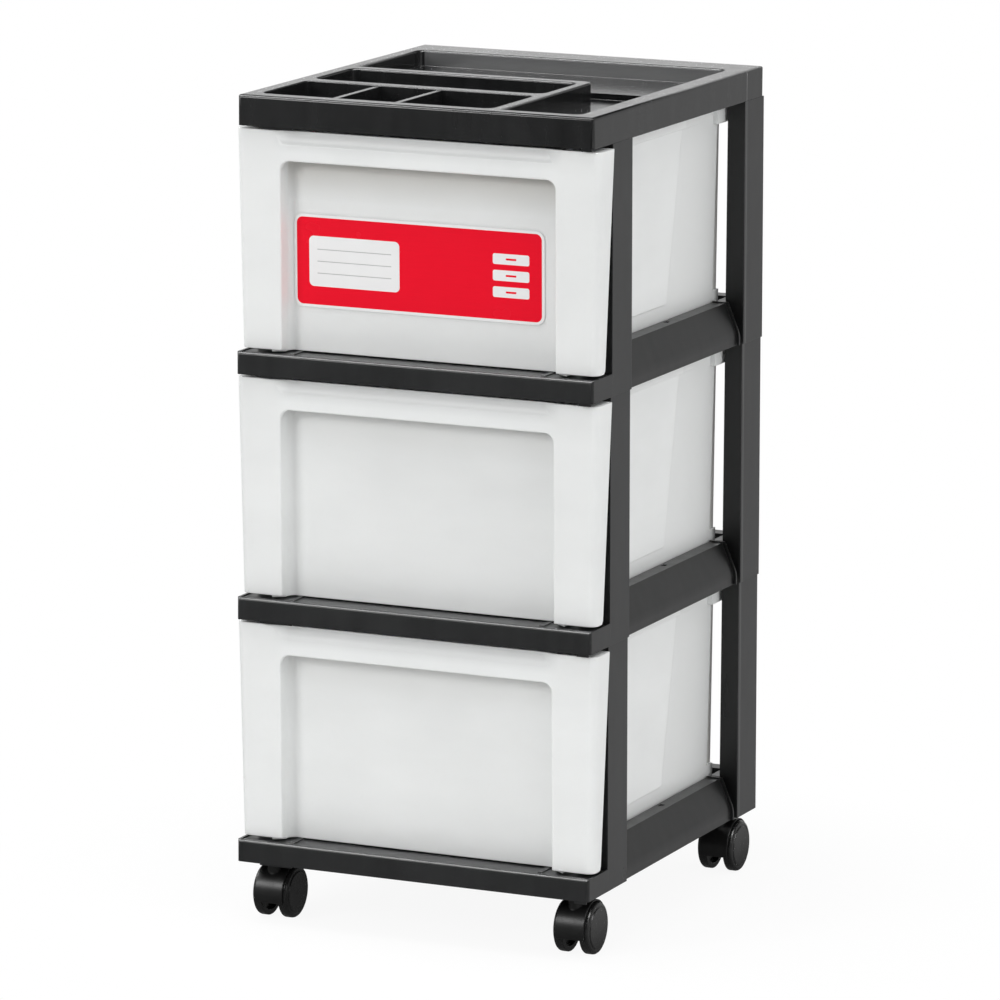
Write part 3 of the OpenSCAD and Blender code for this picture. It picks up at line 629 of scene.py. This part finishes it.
# what glossy surfaces see: the room, the floor and a long lamp overhead
gloss = {"front": 0.03, "side": 0.12, "left": 0.48, "leftSpread": (-0.385, -0.45), "behind": (0.55, 1.0),
         "behindSpread": (0.15, -0.1), "strip": 20.0, "stripTop": (0.60, 0.68), "stripBack": (0.0, -0.06),
         "stripFront": (-0.40, -0.34), "floor": (0.26, 0.55), "floorSpread": (-0.45, -0.15), "underTowerShadow": 0.25,
         "sideOpen": (0.15, 0.21), "frontOpen": (-0.20, -0.45)}
lamps = {"key": {"place": (-1.5, -2.7, 1.65), "size": (1.2, 0.9), "power": 34.5},
         "top": {"place": (-0.25, -0.45, 2.3), "size": (1.7, 0.5), "power": 18.0},
         "fill": {"place": (2.7, -0.9, 1.2), "size": (1.2, 1.8), "power": 13.5}}
floorMesh = bmesh.new()
bmesh.ops.create_grid(floorMesh, x_segments=1, y_segments=1, size=studio["floorHalf"])
floorData = bpy.data.meshes.new("floor")
floorMesh.to_mesh(floorData)
floorMesh.free()
floor = bpy.data.objects.new("floor", floorData)
bpy.context.scene.collection.objects.link(floor)


def rays(finish, *kinds):  # 1 for rays of these kinds
    path = finish.tree.nodes.new("ShaderNodeLightPath")
    found = Value(finish.tree, path.outputs[kinds[0]])
    for kind in kinds[1:]:
        found = found.atLeast(Value(finish.tree, path.outputs[kind]))
    return found


# the floor is white, with the tower's shadow close to it, and greyer in reflections, with a painted shadow under the
# tower in what glossy surfaces see
floorPaint = bpy.data.materials.new("floorPaint")
finish = Finish(floorPaint)
x, y = finish.place()[:2]
away = finish.spread((x * x + y * y).root(), *studio["shadowEnd"])
paint = finish.tint(finish.spread(y, *studio["paintSpread"]), *(grey(level) for level in studio["paint"]))
matt = finish.add("ShaderNodeBsdfDiffuse", {}, {"Color": paint})
eye = rays(finish, "Is Camera Ray", "Is Transmission Ray")
shine = rays(finish, "Is Glossy Ray")
# painted shadow: the floor is darker to glossy rays under the tower, except where it is open to the right and the
# front
clear = finish.spread(x, *gloss["sideOpen"]).atLeast(finish.spread(y, *gloss["frontOpen"]))
clear = gloss["underTowerShadow"] + (1.0 - gloss["underTowerShadow"]) * clear
level = eye + (1.0 - eye) * finish.spread(y, *gloss["floorSpread"], *gloss["floor"]) * clear
white = finish.add("ShaderNodeEmission", {}, {"Color": grey(1.0), "Strength": level})
seen = (eye * (1.0 - studio["shadow"] * (1.0 - away))).atLeast(shine)
mixed = finish.add("ShaderNodeMixShader", {}, {0: seen, 1: matt, 2: white})
finish.add("ShaderNodeOutputMaterial", {}, {"Surface": mixed})
floorData.materials.append(floorPaint)

# the world is white to the camera, a soft room to matt surfaces, and has a pale backdrop to glossy ones
world = bpy.data.worlds.new("studio")
bpy.context.scene.world = world
finish = Finish(world)
way = finish.tree.nodes.new("ShaderNodeSeparateXYZ")
link(finish.tree, finish.add("ShaderNodeTexCoord", out="Generated"), way.inputs[0])
x, y, z = (Value(finish.tree, socket) for socket in way.outputs)
eye = rays(finish, "Is Camera Ray", "Is Transmission Ray")
matte, shine = rays(finish, "Is Diffuse Ray"), rays(finish, "Is Glossy Ray")
backdrop = finish.spread(y, *studio["backdropDepth"]) * finish.spread(z, *studio["backdropTop"])
toSide = finish.spread(x, *studio["sideSpread"])
strip = finish.spread(z, *gloss["stripTop"]) * finish.spread(y, *gloss["stripBack"])
strip = strip * finish.spread(y, *gloss["stripFront"])
mirrored = gloss["front"] + gloss["side"] * toSide + gloss["left"] * finish.spread(x, *gloss["leftSpread"])
mirrored = mirrored + gloss["strip"] * strip
room = matte * (studio["sky"] + studio["side"] * toSide) + shine * mirrored
soft = finish.add("ShaderNodeBackground", {}, {"Color": grey(1.0), "Strength": room})
behind = eye.atLeast(finish.spread(x, *gloss["behindSpread"], *gloss["behind"]))
white = finish.add("ShaderNodeBackground", {}, {"Color": grey(1.0), "Strength": behind})
mixed = finish.add("ShaderNodeMixShader", {}, {0: eye.atLeast(shine * backdrop), 1: soft, 2: white})
finish.add("ShaderNodeOutputWorld", {}, {"Surface": mixed})

for name, lamp in lamps.items():
    light = bpy.data.lights.new(name, "AREA")
    light.shape = "RECTANGLE"
    light.size, light.size_y = lamp["size"]
    light.energy = lamp["power"]
    fitting = bpy.data.objects.new(name, light)
    fitting.location = lamp["place"]
    fitting.rotation_euler = (Vector(studio["aim"]) - fitting.location).to_track_quat("-Z", "Y").to_euler()
    bpy.context.scene.collection.objects.link(fitting)

bpy.context.scene.view_settings.view_transform = "Standard"
print("camera and light set")
